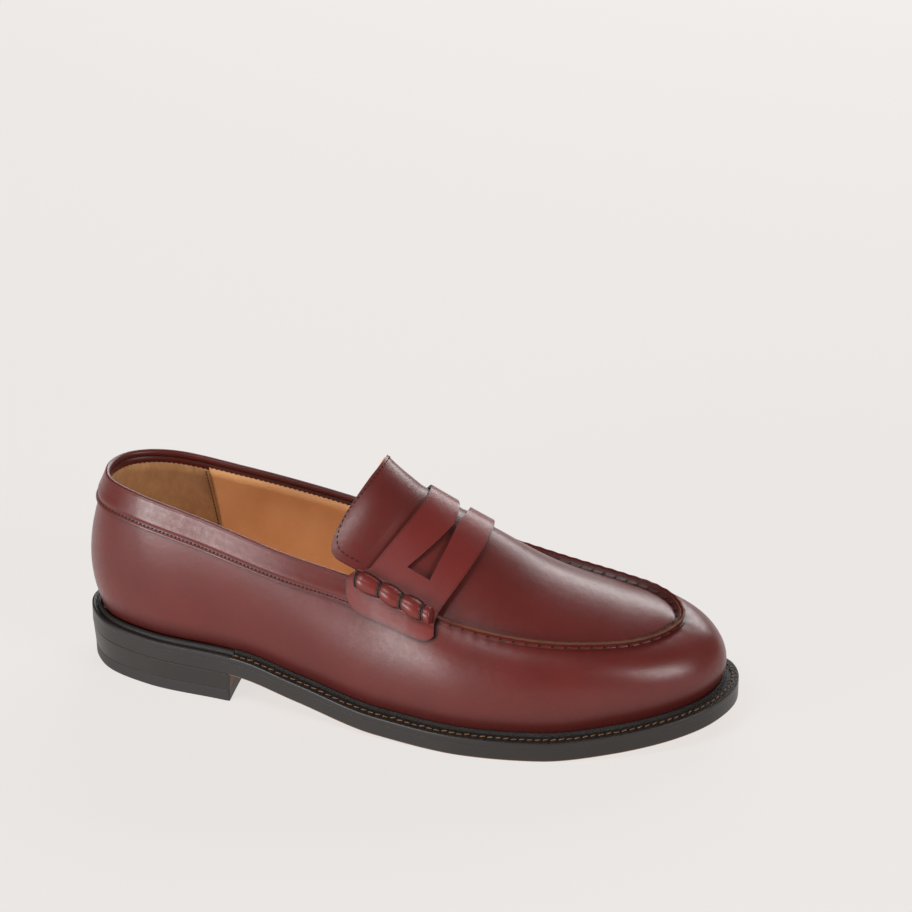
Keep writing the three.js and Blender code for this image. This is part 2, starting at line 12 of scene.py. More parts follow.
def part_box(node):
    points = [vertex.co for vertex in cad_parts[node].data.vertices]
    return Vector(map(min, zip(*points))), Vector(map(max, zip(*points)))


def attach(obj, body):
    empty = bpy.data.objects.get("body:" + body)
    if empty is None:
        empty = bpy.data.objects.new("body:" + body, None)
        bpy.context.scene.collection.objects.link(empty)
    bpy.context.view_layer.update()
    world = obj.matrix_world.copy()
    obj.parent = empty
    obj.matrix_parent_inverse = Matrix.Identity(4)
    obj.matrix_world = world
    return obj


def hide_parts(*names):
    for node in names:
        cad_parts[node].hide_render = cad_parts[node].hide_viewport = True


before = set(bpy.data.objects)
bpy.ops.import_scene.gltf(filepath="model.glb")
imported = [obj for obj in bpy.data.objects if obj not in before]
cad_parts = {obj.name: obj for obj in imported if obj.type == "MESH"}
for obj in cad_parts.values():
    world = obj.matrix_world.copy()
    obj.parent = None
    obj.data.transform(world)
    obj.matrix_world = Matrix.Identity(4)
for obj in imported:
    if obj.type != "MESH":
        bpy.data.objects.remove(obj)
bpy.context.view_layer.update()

MM = 0.001

# ---------------- driving dimensions

# Stations from the heel's back to the toe's tip: the sole's edge (x, y) and the upper's top edge
# (x, y, z), each on the outer and then the inner side of the foot.
STATIONS = [
    ((0, 0), (0, 0), (10.5, 0.5, 92.2), (10.5, 0.5, 92.2)),
    ((11, -21), (10, 22.5), (15, -12.5, 91.8), (15, 14, 91.8)),
    ((36.5, -33), (36, 33.5), (31, -22, 90.5), (31, 25, 89.5)),
    ((75, -38), (75, 32.5), (66, -28, 84), (66, 30, 83)),
    ((110, -44), (110, 32), (101, -32.5, 75.5), (102, 33, 75.5)),
    ((149, -51.5), (148, 38), (138, -33.5, 67), (140, 33.5, 67.5)),
    ((189, -56), (187, 47.5), (180, -38, 53.5), (180, 36, 59)),
    ((224, -52), (222, 51), (216, -35.5, 48), (214, 36.5, 51.5)),
    ((253, -41.5), (252, 47.5), (241, -27.5, 46), (240, 33, 48.5)),
    ((278, -27), (277, 39), (257, -17, 44.5), (256, 28, 47.5)),
    ((292, -12), (292.5, 26), (267, -6, 44.5), (267, 19.5, 46.5)),
    ((298, 7), (298, 7), (272, 7, 45.5), (272, 7, 45.5)),
]
WELT_LINE = [(0, 25.2), (40, 24.3), (80, 23.4), (110, 17.8), (148, 11), (190, 9.4), (222, 9.4),
             (252, 11.6), (280, 15.2), (298, 18.2)]
SOLE_EDGE = 9.4
TURN_RADIUS = 4.6
HEEL_BREAST = 78
TOP_PIECE = 5.6
HEEL_TAPER = 1.0
LIP_LEAN = radians(32)
SIDE_POWER = 2.0
TONGUE = {"crest": (153.5, 94.6), "bend": (145.2, 101.4), "tip": (136, 105.8), "half": 33.4, "drop": 29.5,
          "side": 0.22, "ear": 10}
HALF_TURN = len(STATIONS) - 1


# ---------------- curves of the last

def profile(pairs):
    """A smooth curve through (position, value) pairs that never overshoots them."""
    last = len(pairs) - 2
    steps = [(pairs[i + 1][1] - pairs[i][1]) / (pairs[i + 1][0] - pairs[i][0]) for i in range(last + 1)]
    slopes = [steps[0]]
    for before, after in zip(steps, steps[1:]):
        slopes.append(0 if before * after <= 0 else 2 * before * after / (before + after))
    slopes.append(steps[-1])

    def value(x):
        k = max([i for i in range(last + 1) if pairs[i][0] <= x], default=0)
        width = pairs[k + 1][0] - pairs[k][0]
        s = min(1, max(0, (x - pairs[k][0]) / width))
        a, b = pairs[k][1], pairs[k + 1][1]
        return (a * (1 + 2 * s) * (1 - s) ** 2 + slopes[k] * width * s * (1 - s) ** 2
                + b * s * s * (3 - 2 * s) + slopes[k + 1] * width * s * s * (s - 1))
    return value


def ring_curve(outer_key, inner_key):
    """A closed centripetal Catmull-Rom curve round the shoe; u runs from 0 to 1."""
    rows = [row[outer_key] for row in STATIONS] + [row[inner_key] for row in STATIONS[-2:0:-1]]
    points = [Vector((row[0], row[1], row[2] if len(row) > 2 else 0)) for row in rows]
    count = len(points)

    def point(u):
        place = (u - int(u // 1)) * count
        i = int(place) % count
        s = place - int(place)
        p = [points[(i + k) % count] for k in (-1, 0, 1, 2)]
        gap = [(p[k + 1] - p[k]).length ** 0.5 for k in range(3)]
        start = ((p[1] - p[0]) / gap[0] - (p[2] - p[0]) / (gap[0] + gap[1]) + (p[2] - p[1]) / gap[1]) * gap[1]
        end = ((p[2] - p[1]) / gap[1] - (p[3] - p[1]) / (gap[1] + gap[2]) + (p[3] - p[2]) / gap[2]) * gap[1]
        return (p[1] * (1 + 2 * s) * (1 - s) ** 2 + start * s * (1 - s) ** 2
                + p[2] * s * s * (3 - 2 * s) + end * s * s * (s - 1))
    return point


sole_ring = ring_curve(0, 1)
top_ring = ring_curve(2, 3)
welt_z = profile(WELT_LINE)
seat_rise = profile([(60, 3.4), (110, 2.2), (300, 2.2)])
foot_inset = profile([(0, 3.8), (3, 5.4), (5, 6.4), (8, 7), (11, 7.4)])
low_bulge = profile([(0, 8), (2, 5), (4, 3.5), (6, 4.5), (8, 5.5), (11, 6.5)])
high_bulge = profile([(0, 6.5), (2, 5.5), (4, 4.5), (5, 5), (6, 9), (8, 11), (11, 12)])
low_reach = profile([(0, 0.35), (5, 0.35), (7, 0.42), (11, 0.5)])
high_reach = profile([(0, 0.3), (5, 0.28), (7, 0.1), (11, -0.02)])
arch_height = profile([(5, 30.8), (6, 21), (7, 11.5), (8, 7.5), (9, 4.2), (10, 2.1), (11, 0)])
arch_lean = profile([(5, 28), (6, 24), (7, 15), (8, 9), (11, 0)])
crest_side = profile([(5, 0.22), (6, 0.2), (8, 0.08), (11, 0)])
UP = Vector((0, 0, 1))


def outer(station):
    return station / (2 * HALF_TURN)


def inner(station):
    return 1 - outer(station)


def station_at(u):
    u -= u // 1
    return 2 * HALF_TURN * min(u, 1 - u)


def outward(u):
    along = sole_ring(u + 0.0004) - sole_ring(u - 0.0004)
    return Vector((along.y, -along.x, 0)).normalized()


def upper_foot(x):
    return welt_z(x) + seat_rise(x)


def edge_point(u, inset, level):
    point = sole_ring(u) - outward(u) * inset
    return Vector((point.x, point.y, level(point.x)))


class Wall:
    """The outer face of the upper's wall at one place round the ring."""

    def __init__(self, u):
        self.station = station_at(u)
        self.out = outward(u)
        self.foot = edge_point(u, foot_inset(self.station), upper_foot)
        self.top = top_ring(u)
        rise = self.top.z - self.foot.z
        self.low = self.foot + self.out * low_bulge(self.station) + UP * low_reach(self.station) * rise
        self.high = self.top + self.out * high_bulge(self.station) - UP * high_reach(self.station) * rise
        self.height = rise * 1.04
        self.lip = UP * cos(LIP_LEAN) + self.out * sin(LIP_LEAN)

    def at(self, t):
        """t runs from 0 at the welt to 1 at the top edge, and below 0 under the insole."""
        if t < 0:
            angle = min(1, -2 * t) * pi / 2
            point = self.foot - self.out * TURN_RADIUS * (1 - cos(angle))
            point.z = upper_foot(point.x) - TURN_RADIUS * sin(angle)
            return point
        s = 1 - t
        return self.foot * s ** 3 + self.low * 3 * s * s * t + self.high * 3 * s * t * t + self.top * t ** 3

    def below(self, depth):
        return 1 - depth / self.height


def arch_point(u, side, seam_inset=0):
    """The instep's arch from the outer seam (side -1) to the inner seam (side 1)."""
    left = top_ring(u) - outward(u) * seam_inset
    right = top_ring(1 - u) - outward(1 - u) * seam_inset
    station = station_at(u)
    lean = radians(arch_lean(station))
    crest = crest_side(station)
    across = (side - crest) / (1 - crest if side > crest else 1 + crest)
    lift = arch_height(station) * (1 - min(1, abs(across)) ** SIDE_POWER)
    return left.lerp(right, (side + 1) / 2) + Vector((sin(lean), 0, cos(lean))) * lift


def tongue_point(along, side):
    """The tongue carries the arch on up the instep, from 0 at the strap to 1 at its end."""
    a, b, c = (Vector((x, 0, z)) for x, z in (TONGUE["crest"], TONGUE["bend"], TONGUE["tip"]))
    centre = a * (1 - along) ** 2 + b * 2 * along * (1 - along) + c * along ** 2
    slope = ((b - a) * (1 - along) + (c - b) * along).normalized()
    # It stays wide for most of its length, and its end is round.
    half = TONGUE["half"] * sqrt(1 - 0.96 * max(0, along) ** 5)
    crest = TONGUE["side"]
    reach = side * half / TONGUE["half"]
    across = (reach - crest) / (1 - crest if reach > crest else 1 + crest)
    drop = TONGUE["drop"] * abs(across) ** SIDE_POWER
    shift = TONGUE["half"] * crest * max(0, along) ** 3 * 0.7
    ear = TONGUE["ear"] * max(0, along) * across ** 2
    return Vector((centre.x - slope.z * drop - ear, side * half + shift, centre.z + slope.x * drop))


# The shoe's box stands centred over the origin, and the outsole's corner gives the place of the rings.
sole_low, sole_high = (Vector(corner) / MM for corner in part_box("outsole"))
rim = [sole_ring(i / 800) for i in range(800)]
PLACE = Vector((sole_low.x - min(p.x for p in rim), sole_high.y - max(p.y for p in rim), 0))


class Run:
    """Places at even distances along part of a ring: run(0) is its start and run(1) its end."""

    def __init__(self, curve, start, end, samples=900):
        self.places = [start + (end - start) * i / samples for i in range(samples + 1)]
        points = [curve(u) for u in self.places]
        self.lengths = [0]
        for before, after in zip(points, points[1:]):
            self.lengths.append(self.lengths[-1] + (after - before).length)
        self.length = self.lengths[-1]

    def __call__(self, part):
        goal = part * self.length
        k = min(max(bisect(self.lengths, goal) - 1, 0), len(self.places) - 2)
        share = (goal - self.lengths[k]) / (self.lengths[k + 1] - self.lengths[k])
        return self.places[k] + (self.places[k + 1] - self.places[k]) * share


@lru_cache(maxsize=None)
def wall(u):
    return Wall(u)


def ramp(x, low, high):
    """Rises smoothly from 0 at low to 1 at high."""
    s = min(1, max(0, (x - low) / (high - low)))
    return s * s * (3 - 2 * s)


def peak(x, centre, width):
    """A smooth hump: 1 at centre, and nearly 0 more than twice width away from it."""
    return 2.718 ** -((x - centre) / width) ** 2


def bend(start, corner, end, s):
    """A curve from start to end that rounds off a corner."""
    return start * (1 - s) ** 2 + corner * 2 * s * (1 - s) + end * s * s


def pick(values, part):
    """The value at part, from 0 to 1, of an evenly spaced list."""
    place = part * (len(values) - 1)
    k = min(int(place), len(values) - 2)
    return values[k] + (values[k + 1] - values[k]) * (place - k)


def on_section(section, part):
    """The point at part, from 0 to 1, of a section given as evenly spaced pairs of numbers."""
    return [pick([corner[k] for corner in section], part) for k in (0, 1)]


# ---------------- making pieces

def finished(name, bm, materials, slot=None, nodes=()):
    """Turn a bmesh in millimetres into a piece that rides with the shoe."""
    bm.transform(Matrix.Scale(MM, 4) @ Matrix.Translation(PLACE))
    mesh = bpy.data.meshes.new(name)
    bm.to_mesh(mesh)
    bm.free()
    mesh.shade_smooth()
    for material in materials:
        mesh.materials.append(material)
    piece = bpy.data.objects.new(name, mesh)
    bpy.context.scene.collection.objects.link(piece)
    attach(piece, "root")
    if nodes:
        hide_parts(*nodes)
    return piece


def soften(piece, width):
    """Round the piece's sharp edges by width millimetres."""
    bevel = piece.modifiers.new("rounded edges", "BEVEL")
    bevel.width = width * MM
    bevel.segments = 2
    bevel.limit_method = "ANGLE"
    bevel.angle_limit = radians(48)
    bevel.harden_normals = True


def thicken(piece, thick, side, even=True):
    """Give a sheet its thickness, inwards (side -1) or outwards (side 1), with a raw cut edge."""
    solid = piece.modifiers.new("thickness", "SOLIDIFY")
    solid.thickness = thick * MM
    solid.offset = side
    solid.use_even_offset = even
    solid.thickness_clamp = 0.5
    solid.material_offset_rim = 1


def grid(columns, rows, place, lift=0, tone=None, hole=None, paint=None):
    """A bmesh grid laid on place(a, b), lifted off it along its normals. tone darkens the leather, mostly as
    painted shade.
    """
    bm = bmesh.new()
    bm.loops.layers.uv.new("UVMap")
    bmesh.ops.create_grid(bm, x_segments=columns, y_segments=rows, size=0.5, calc_uvs=True)
    shade = bm.verts.layers.float.new("tone")
    cut = []
    for face in bm.faces:
        middle = face.calc_center_median()
        spot = (middle.x + 0.5, middle.y + 0.5)
        if paint:
            face.material_index = paint(*spot)
        if hole and hole(*spot):
            cut.append(face)
    bmesh.ops.delete(bm, geom=cut, context="FACES_ONLY")
    spots = [(min(1, max(0, v.co.x + 0.5)), min(1, max(0, v.co.y + 0.5))) for v in bm.verts]
    for v, spot in zip(bm.verts, spots):
        v.co = place(*spot)
        v[shade] = tone(*spot) if tone else 0
    bm.normal_update()
    moves = [v.normal * (lift(*spot) if callable(lift) else lift) for v, spot in zip(bm.verts, spots)]
    for v, move in zip(bm.verts, moves):
        v.co += move
    bmesh.ops.remove_doubles(bm, verts=bm.verts, dist=0.002)
    return bm


def sheet(name, columns, rows, place, materials, slot, nodes=(), thick=1.4, side=-1, soft=0.25, even=True,
          **laid):
    """A sheet of leather with a thickness and slightly rounded edges."""
    piece = finished(name, grid(columns, rows, place, **laid), materials, slot, nodes)
    thicken(piece, thick, side, even)
    if soft:
        soften(piece, soft)
    return piece


def aim(point, along, normal):
    """A matrix at point whose X axis runs along and whose Z axis is as near normal as it can be."""
    x = along.normalized()
    y = normal.cross(x).normalized()
    z = x.cross(y)
    turned = Matrix((x, y, z)).transposed().to_4x4()
    turned.translation = point
    return turned


def stitches(name, frames, length, width, material, height=None):
    """One short thread, rounded at both ends, at each of the frames."""
    bm = bmesh.new()
    size = Matrix.Diagonal((length / 2, width / 2, (height or width) / 2, 1))
    for frame_at in frames:
        bmesh.ops.create_uvsphere(bm, u_segments=8, v_segments=6, radius=1,
                                  matrix=frame_at @ size @ Matrix.Rotation(pi / 2, 4, "Y"))
    finished(name, bm, [material])


def loop_of_thread(name, path, radius, material, sides=10):
    """A closed round of thread along path, a list of (point, normal)."""
    count = len(path)

    def place(a, b):
        i = round(a * count) % count
        turned = aim(path[i][0], path[(i + 1) % count][0] - path[i - 1][0], path[i][1])
        return turned @ Vector((0, radius * cos(b * tau), radius * sin(b * tau)))

    bm = grid(count, sides, place)
    bmesh.ops.recalc_face_normals(bm, faces=bm.faces)
    finished(name, bm, [material])


# ---------------- procedural materials

class Value:
    """A shader socket that can be added, multiplied and so on, each making a maths node."""

    def __init__(self, paint, socket):
        self.paint = paint
        self.socket = socket

    def __add__(self, other):
        return self.paint.maths("ADD", self, other)

    def __rsub__(self, other):
        return self.paint.maths("SUBTRACT", other, self)

    def __mul__(self, other):
        return self.paint.maths("MULTIPLY", self, other)

    __radd__ = __add__
    __rmul__ = __mul__

    def between(self, low, high):
        """0 below low, 1 above high, and a straight rise between them."""
        return self.paint.node("ShaderNodeMapRange", "Result",
                               {"Value": self, "From Min": low, "From Max": high})


class Paint:
    """A node material built with short calls. Places are in metres, in the shoe's own frame."""

    def __init__(self, name, **surface):
        self.material = bpy.data.materials.new(name)
        self.material.use_nodes = True
        self.tree = self.material.node_tree
        self.shader = self.tree.nodes["Principled BSDF"]
        for socket, value in surface.items():
            self.shader.inputs[socket.replace("_", " ")].default_value = value
        self.spot = self.node("ShaderNodeTexCoord", "Object", {})
        # tone is a per-vertex darkening: mostly painted shade in seams, folds and under overlapping pieces.
        self.tone = self.node("ShaderNodeAttribute", "Fac", {}, attribute_name="tone")

    def node(self, kind, output, inputs, **settings):
        made = self.tree.nodes.new(kind)
        for key, value in settings.items():
            setattr(made, key, value)
        for key, value in inputs.items():
            if isinstance(value, Value):
                self.tree.links.new(value.socket, made.inputs[key])
            else:
                made.inputs[key].default_value = value
        return Value(self, made.outputs[output])

    def maths(self, operation, a, b):
        return self.node("ShaderNodeMath", 0, {0: a, 1: b}, operation=operation)

    def noise(self, size, detail=3, rough=0.5, stretch=(1, 1, 1)):
        """Cloudy noise with features about size millimetres across, around 0.5."""
        spot = self.node("ShaderNodeMapping", 0, {"Vector": self.spot, "Scale": stretch})
        return self.node("ShaderNodeTexNoise", "Fac", {"Vector": spot, "Scale": 1 / (size * MM),
                                                       "Detail": detail, "Roughness": rough})

    def cells(self, size):
        """The distance to the nearest edge, in a pattern of cells about size millimetres across."""
        return self.node("ShaderNodeTexVoronoi", "Distance", {"Vector": self.spot, "Scale": 1 / (size * MM)},
                         feature="DISTANCE_TO_EDGE")

    def mix(self, share, a, b):
        made = self.tree.nodes.new("ShaderNodeMix")
        made.data_type = "RGBA"
        for socket, value in ((made.inputs[0], share), (made.inputs[6], a), (made.inputs[7], b)):
            if isinstance(value, Value):
                self.tree.links.new(value.socket, socket)
            else:
                socket.default_value = value
        return Value(self, made.outputs[2])

    def bump(self, height, depth, below=None):
        """A bump depth millimetres high."""
        inputs = {"Height": height, "Distance": depth * MM, "Strength": 1.0}
        if below:
            inputs["Normal"] = below
        return self.node("ShaderNodeBump", "Normal", inputs)

    def give(self, **sockets):
        for key, value in sockets.items():
            self.tree.links.new(value.socket, self.shader.inputs[key.replace("_", " ")])
        return self.material


def colour(red, green, blue):
    """A colour as it shows on a screen, from 0 to 255, as the linear light that Blender mixes."""
    shown = (red / 255, green / 255, blue / 255)
    return (*(c / 12.92 if c <= 0.04 else ((c + 0.055) / 1.055) ** 2.4 for c in shown), 1)


def polished_leather(name, light, dark, rough, coat):
    """Calf leather: a cloudy colour, fine pores, a waxed top coat, and darkening where tone is high, which is
    painted shade in seams, folds and under overlapping pieces, and a plain darkening near the welt.
    """
    paint = Paint(name, Coat_Roughness=0.3, Specular_IOR_Level=0.4)
    cloud = paint.noise(26, 3).between(0.3, 0.7)
    mottle = paint.noise(2.4, 4, 0.6).between(0.3, 0.7)
    surface_colour = paint.mix(cloud * 0.35 + mottle * 0.2, light, dark)
    # Painted shade: where tone is high the colour goes towards a third of the dark colour, and the top coat
    # thins.
    surface_colour = paint.mix(paint.tone, surface_colour, tuple(c * 0.3 for c in dark[:3]) + (1,))
    pores = paint.cells(0.62).between(0.0, 0.22)
    grain = paint.noise(0.34, 2, 0.6)
    creases = paint.noise(5.5, 2, 0.5)
    height = pores * 0.5 + grain * 0.55
    normal = paint.bump(height, 0.022, paint.bump(creases, 0.08))
    roughness = grain * 0.1 + mottle * 0.1 + paint.tone * 0.1 + (rough - 0.1)
    shine = (1 - paint.tone * 0.5) * coat
    return paint.give(Base_Color=surface_colour, Roughness=roughness, Coat_Weight=shine, Normal=normal)


def plain_leather(name, light, dark, rough, depth=0.05):
    """Unpolished leather with an open grain."""
    paint = Paint(name, Specular_IOR_Level=0.35)
    cloud = paint.noise(14, 4, 0.6).between(0.3, 0.7)
    grain = paint.noise(0.5, 3, 0.65)
    surface_colour = paint.mix(cloud * 0.6 + grain * 0.3, light, dark)
    # Painted shade: where tone is high the colour goes towards about a third of the dark colour.
    surface_colour = paint.mix(paint.tone, surface_colour, tuple(c * 0.35 for c in dark[:3]) + (1,))
    normal = paint.bump(grain + paint.cells(0.9).between(0, 0.3) * 0.4, depth)
    return paint.give(Base_Color=surface_colour, Roughness=grain * 0.15 + rough, Normal=normal)


def napped(name, light, dark):
    """Suede: a soft nap that lies in patches."""
    paint = Paint(name, Specular_IOR_Level=0.15, Sheen_Weight=0.35, Sheen_Roughness=0.5)
    brushed = paint.noise(7, 4, 0.7, (1, 1, 0.5)).between(0.35, 0.65)
    nap = paint.noise(0.35, 3, 0.7)
    surface_colour = paint.mix(brushed * 0.6 + nap * 0.4, light, dark)
    return paint.give(Base_Color=surface_colour, Roughness=nap * 0.1 + 0.88, Normal=paint.bump(nap, 0.14))


def thread_of(name, light, dark, size=0.4):
    """Waxed twisted thread."""
    paint = Paint(name, Specular_IOR_Level=0.4)
    fibres = paint.noise(size, 3, 0.7, (1, 1, 2.5))
    surface_colour = paint.mix(fibres.between(0.35, 0.65), light, dark)
    return paint.give(Base_Color=surface_colour, Roughness=fibres * 0.2 + 0.5, Normal=paint.bump(fibres, 0.12))


def inked_edge(name, light, dark, rough, streak):
    """The ground and inked edge of stacked leather, with faint lines along it."""
    paint = Paint(name, Specular_IOR_Level=0.45, Coat_Roughness=0.3)
    lines = paint.noise(2.0, 3, 0.6, (0.12, 0.12, streak))
    grain = paint.noise(0.5, 3, 0.6)
    surface_colour = paint.mix((lines * 0.6 + grain * 0.4).between(0.3, 0.7), light, dark)
    normal = paint.bump(lines * 0.6 + grain * 0.4, 0.05)
    return paint.give(Base_Color=surface_colour, Roughness=grain * 0.12 + rough, Coat_Weight=lines * 0.2, Normal=normal)


burgundy = polished_leather("burgundy calf", colour(99, 33, 28), colour(72, 20, 17), 0.36, 0.14)
strap_calf = polished_leather("strap calf", colour(114, 38, 33), colour(88, 25, 22), 0.36, 0.14)
raw_edge = plain_leather("raw leather edge", colour(116, 68, 46), colour(58, 28, 21), 0.62)
dark_edge = plain_leather("dyed leather edge", colour(46, 18, 15), colour(28, 12, 10), 0.5)
tan = plain_leather("tan lining leather", colour(244, 186, 130), colour(228, 164, 108), 0.5)
suede = napped("khaki suede", colour(194, 146, 98), colour(158, 114, 72))
black_edge = inked_edge("black sole edge", colour(40, 34, 32), colour(28, 24, 22), 0.36, 0.5)
natural_line = plain_leather("natural edge line", colour(150, 112, 82), colour(110, 78, 55), 0.6)
welt_black = plain_leather("black welt leather", colour(38, 30, 26), colour(18, 14, 12), 0.5, 0.4)
rand_black = plain_leather("black rand leather", colour(34, 28, 26), colour(22, 18, 17), 0.42, 0.06)
sole_leather = plain_leather("sole leather", colour(186, 142, 100), colour(158, 112, 74), 0.5)
# The heel's front face: its own brown, darkened further as painted shade.
breast_brown = plain_leather("heel breast darkened as shade", colour(96, 64, 46), colour(64, 42, 31), 0.5)
rubber = inked_edge("heel rubber", colour(40, 36, 34), colour(30, 27, 26), 0.55, 1)
dark_thread = thread_of("dark brown thread", colour(66, 46, 38), colour(32, 20, 16))
edge_thread = thread_of("oxblood thread", colour(34, 14, 12), colour(20, 9, 8))
welt_thread = thread_of("golden thread", colour(142, 104, 66), colour(58, 38, 25), 0.6)
seam_thread = thread_of("seam thread", colour(84, 48, 35), colour(38, 19, 15))
# Painted shade for the inside of needle holes.
hole_shade = plain_leather("needle hole shade", colour(26, 12, 10), colour(16, 8, 7), 0.8)
board = plain_leather("leather board", colour(205, 180, 140), colour(180, 150, 110), 0.8)
canvas = plain_leather("rib canvas", colour(214, 202, 176), colour(186, 172, 142), 0.85, 0.15)
cork = napped("ground cork", colour(170, 126, 80), colour(96, 64, 38))
steel = inked_edge("shank steel", colour(150, 152, 156), colour(116, 118, 122), 0.35, 1)
steel.node_tree.nodes["Principled BSDF"].inputs["Metallic"].default_value = 1


# ---------------- the upper's wall

# Stations where the mouth, the band, the heel grip and the quarter lining end.
MOUTH_END = 4.87
BAND_END = 5.0
GRIP_EDGE = 2.52
LINING_JOIN = 4.9
BAND_DEPTH = 15
VAMP_TUCK = 9.5
# The strap's edges are stations. A tab is a share of the strap's length, and its fold is that deep.
STRAP = {"back": 5, "front": 5.82, "flare": 0.17, "forward": 0.1, "drop": 12.5, "slant": 3.6, "tab": 0.14,
         "fold": 3.4, "fold_share": 0.72, "across": 0.93, "spread": 0.757}
SEAM_START = 5.76
SEAM_PITCH = 5.6
SEAM_LIP = 2.9
LOW_LIP = 0.3
seam_run = Run(top_ring, outer(SEAM_START), inner(SEAM_START))
SEAM_STITCHES = round(seam_run.length / SEAM_PITCH)


def band_depth(station):
    """How deep the collar band is: it narrows as it comes to the strap."""
    return BAND_DEPTH - 1.2 * ramp(station, 3, MOUTH_END)


def tab_depth(part):
    """How far down the strap's tab reaches, with its lower corners rounded."""
    return (STRAP["drop"] + STRAP["slant"] * (1 - part)) * (1 - 0.34 * min(1, abs(2 * part - 1)) ** 7)


def seam_distance(u):
    """How far along the apron seam the place u is, in millimetres."""
    part = (u - seam_run.places[0]) / (seam_run.places[-1] - seam_run.places[0])
    return pick(seam_run.lengths, min(1, max(0, part)))


def stitch_pull(u):
    """1 at each stitch of the apron seam and 0 halfway between two."""
    return 0.5 + 0.5 * cos(tau * SEAM_STITCHES * seam_distance(u) / seam_run.length)


def lip_height(u):
    """The upturned edges of the apron seam stand up in front of the strap only."""
    return LOW_LIP + (SEAM_LIP - LOW_LIP - 0.25 * stitch_pull(u)) * ramp(station_at(u), 5.66, 5.84)


vamp_run = Run(top_ring, 0, 1)
# The vamp's rows: under the insole, up the wall, close together near the top, and round the seam's lip.
LIP_START = 0.965
VAMP_LEVELS = ([-0.5, -0.3, -0.12] + [i / 16 for i in range(10)] + [0.6 + i / 72 for i in range(26)]
               + [LIP_START] + [1 + i / 8 for i in range(9)])


def vamp_reach(here):
    """The vamp stops behind the collar band, and comes up to the seam as it nears the strap."""
    return 1 - (1 - here.below(VAMP_TUCK)) * (1 - ramp(here.station, 4.4, MOUTH_END))


def vamp_place(a, b):
    u = vamp_run(a)
    here = wall(u)
    level = pick(VAMP_LEVELS, b)
    if here.station < MOUTH_END:
        return here.at(min(level, 1) * vamp_reach(here) if level > 0 else level)
    pull = 0.12 * stitch_pull(u) * ramp(here.station, 5.7, 6.1)
    if level <= LIP_START:
        near = ramp(level, 1 - 7 / here.height, 1)
        return here.at(max(level, -0.5)) - here.out * pull * near - UP * pull * near
    start = here.at(LIP_START) - (here.out + UP) * pull * 0.9
    end = here.top + here.lip * lip_height(u)
    return bend(start, here.top - here.out * pull, end, min(1, (level - LIP_START) / (2 - LIP_START)))


def vamp_tone(a, b):
    """Darker towards the welt; painted shade in the fold at the foot of the seam's lip and just under the
    collar band's lower edge, and a painted shadow round the strap's tabs.
    """
    here = wall(vamp_run(a))
    level = pick(VAMP_LEVELS, b)
    # A plain darkening in the lowest 9 mm above the welt.
    foot = 1 - ramp(level * here.height, 0, 9)
    shade = foot * 0.5
    if here.station < MOUTH_END:
        depth = (1 - level * vamp_reach(here)) * here.height
        # Painted shadow on the vamp just under the collar band's lower edge.
        shade += 0.75 * peak(depth, band_depth(here.station) + 0.1, 0.9)
        return min(1, shade)
    depth = (1 - level) * here.height
    if here.station > 5.5:
        # Painted shade in the fold at the foot of the seam's lip.
        shade += 0.5 * peak(depth, 0.56, 1.4)
    part = (here.station - STRAP["back"] + STRAP["flare"]) / (STRAP["front"] + STRAP["flare"] - STRAP["back"])
    # Painted shadow in a thin line round the edge of each strap tab.
    if part < 1.06:
        beyond = max(depth - tab_depth(part), (part - 1) * 36)
        shade += 0.85 * ramp(beyond, -1.6, 0.2) * (1 - ramp(beyond, 0.2, 1.7))
    return min(1, shade)


sheet("vamp_leather", 420, len(VAMP_LEVELS) - 1, vamp_place, [burgundy, raw_edge], "burgundy_leather",
      ["vamp"], thick=1.05, tone=vamp_tone, soft=0.35)

# The collar band lies over the upper and ends in a rolled edge along the mouth.
mouth_run = Run(top_ring, -outer(MOUTH_END), outer(MOUTH_END))
band_run = Run(top_ring, -outer(BAND_END), outer(BAND_END))


def collar_place(a, b):
    here = wall(band_run(a))
    depth = band_depth(here.station)
    return here.at(here.below(depth - (depth - 0.55) * b))


def collar_lift(a, b):
    """The band swells at its folded lower edge, and thins a little above the stitches."""
    groove = 0.35 * ramp(b, 0.06, 0.12) * (1 - ramp(b, 0.2, 0.3))
    return 1.6 - groove - 0.5 * ramp(b, 0.25, 0.7) - 0.3 * ramp(b, 0.6, 1)


# Painted shade on the collar band: in the stitch groove, along its folded lower edge, and at its top under
# the rolled edge.
def collar_tone(a, b):
    return 0.45 * peak(b, 0.155, 0.03) + 0.35 * (1 - ramp(b, 0, 0.03)) + 0.2 * ramp(b, 0.93, 1)


sheet("collar_band_leather", 300, 36, collar_place, [burgundy, dark_edge], "burgundy_leather",
      ["collar_band"], thick=1.7, lift=collar_lift, tone=collar_tone, soft=0.4)

# The rolled edge's section: how far out from the wall's top edge, and how far up.
BEAD = [(-0.4, -1.6), (0.1, -1.3), (0.5, -1.0), (0.75, -0.65), (0.8, -0.2), (0.68, 0.25), (0.32, 0.6),
        (-0.15, 0.75), (-0.85, 0.65), (-1.4, 0.25), (-1.75, -0.5), (-1.8, -1.4), (-1.55, -2.1), (-1.9, -2.5),
        (-2.3, -3.2), (-2.45, -4.6), (-2.5, -6.6)]


def bead_place(a, b):
    here = wall(mouth_run(a))
    down = (here.top - here.at(here.below(6))).normalized()
    across = (here.out - down * here.out.dot(down)).normalized()
    over, rise = on_section(BEAD, b)
    return here.top + across * over + down * rise


# Painted shade on the rolled edge: over its inner side, which turns down into the shoe, and deepest in the
# crease on that side.
def bead_tone(a, b):
    return 0.25 * ramp(b, 0.25, 0.5) + 0.7 * peak(b, 0.76, 0.05)


